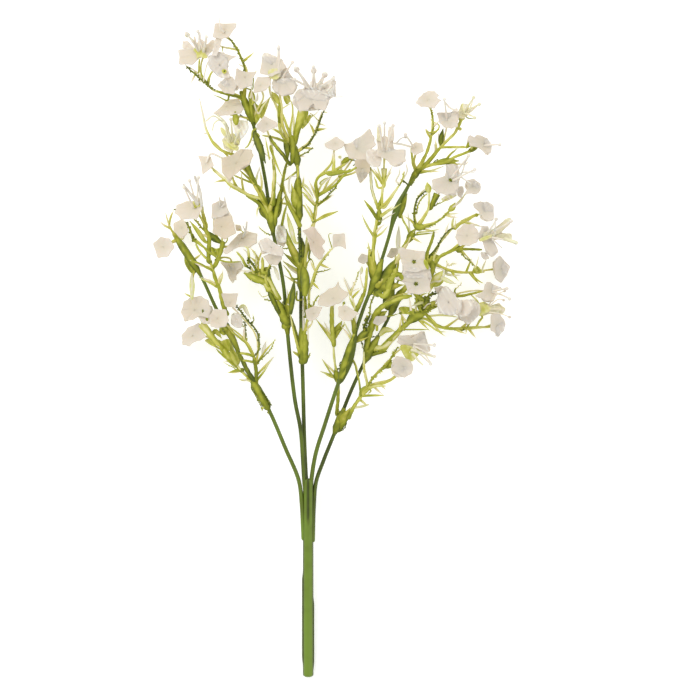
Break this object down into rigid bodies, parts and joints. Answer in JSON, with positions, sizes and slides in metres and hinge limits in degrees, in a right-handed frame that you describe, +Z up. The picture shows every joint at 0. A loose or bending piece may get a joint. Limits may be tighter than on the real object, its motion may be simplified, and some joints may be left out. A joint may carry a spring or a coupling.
{
  "type": "gypsophila stem",
  "caption": "Cut spray of gypsophila lying flat: a green handle forks into thin branches with clasped leafy sprigs and small pale florets.",
  "frame": {"origin": "the middle of the footprint of the spray as it lies, on the surface", "axes": "+Y runs from the cut end of the handle to the tips of the branches, +X to the right seen from above, +Z up from the surface"},
  "size_m": [0.1924, 0.3496, 0.057],
  "materials": {
    "stem_green": "moulded soft plastic over wire, leaf green",
    "sprig_green": "moulded soft plastic, yellow green",
    "petal_white": "thin moulded plastic, pinkish cream"
  },
  "bodies": {
    "root": {"stem": "stem_green", "sprig_a_lower": "sprig_green", "sprig_a_middle": "sprig_green", "sprig_a_tip": "sprig_green", "sprig_b_lower": "sprig_green", "sprig_b_middle": "sprig_green", "sprig_b_tip": "sprig_green", "sprig_c_lower": "sprig_green", "sprig_c_middle": "sprig_green", "sprig_c_upper": "sprig_green", "sprig_c_tip": "sprig_green", "sprig_d_lower": "sprig_green", "sprig_d_middle": "sprig_green", "sprig_d_tip": "sprig_green", "sprig_e_lower": "sprig_green", "sprig_e_middle": "sprig_green", "sprig_e_tip": "sprig_green", "florets_a1": "petal_white", "florets_a2": "petal_white", "florets_a3": "petal_white", "florets_a4": "petal_white", "florets_a5": "petal_white", "florets_a6": "petal_white", "florets_a7": "petal_white", "florets_a8_a9": "petal_white", "florets_a10": "petal_white", "florets_a11": "petal_white", "florets_b1_b2": "petal_white", "florets_b3": "petal_white", "florets_b4_b5": "petal_white", "florets_b6": "petal_white", "florets_b7": "petal_white", "florets_b8": "petal_white", "florets_b9_b10": "petal_white", "florets_b11": "petal_white", "florets_b12_b13_c8_c9": "petal_white", "florets_c1": "petal_white", "florets_c2": "petal_white", "florets_c3": "petal_white", "florets_c4": "petal_white", "florets_c5_c6_c7": "petal_white", "florets_c10": "petal_white", "florets_d1_e1": "petal_white", "florets_d2": "petal_white", "florets_d3": "petal_white", "florets_d4_d5": "petal_white", "florets_d6": "petal_white", "florets_d7": "petal_white", "florets_d8_d9": "petal_white", "florets_d10": "petal_white", "florets_d11": "petal_white", "florets_e2_e3": "petal_white", "florets_e4": "petal_white", "florets_e5": "petal_white", "florets_e6_e7_e8_e9": "petal_white", "florets_e10_e11": "petal_white", "florets_e12_e13": "petal_white", "florets_e14": "petal_white", "florets_e15": "petal_white"}
  },
  "joints": []
}
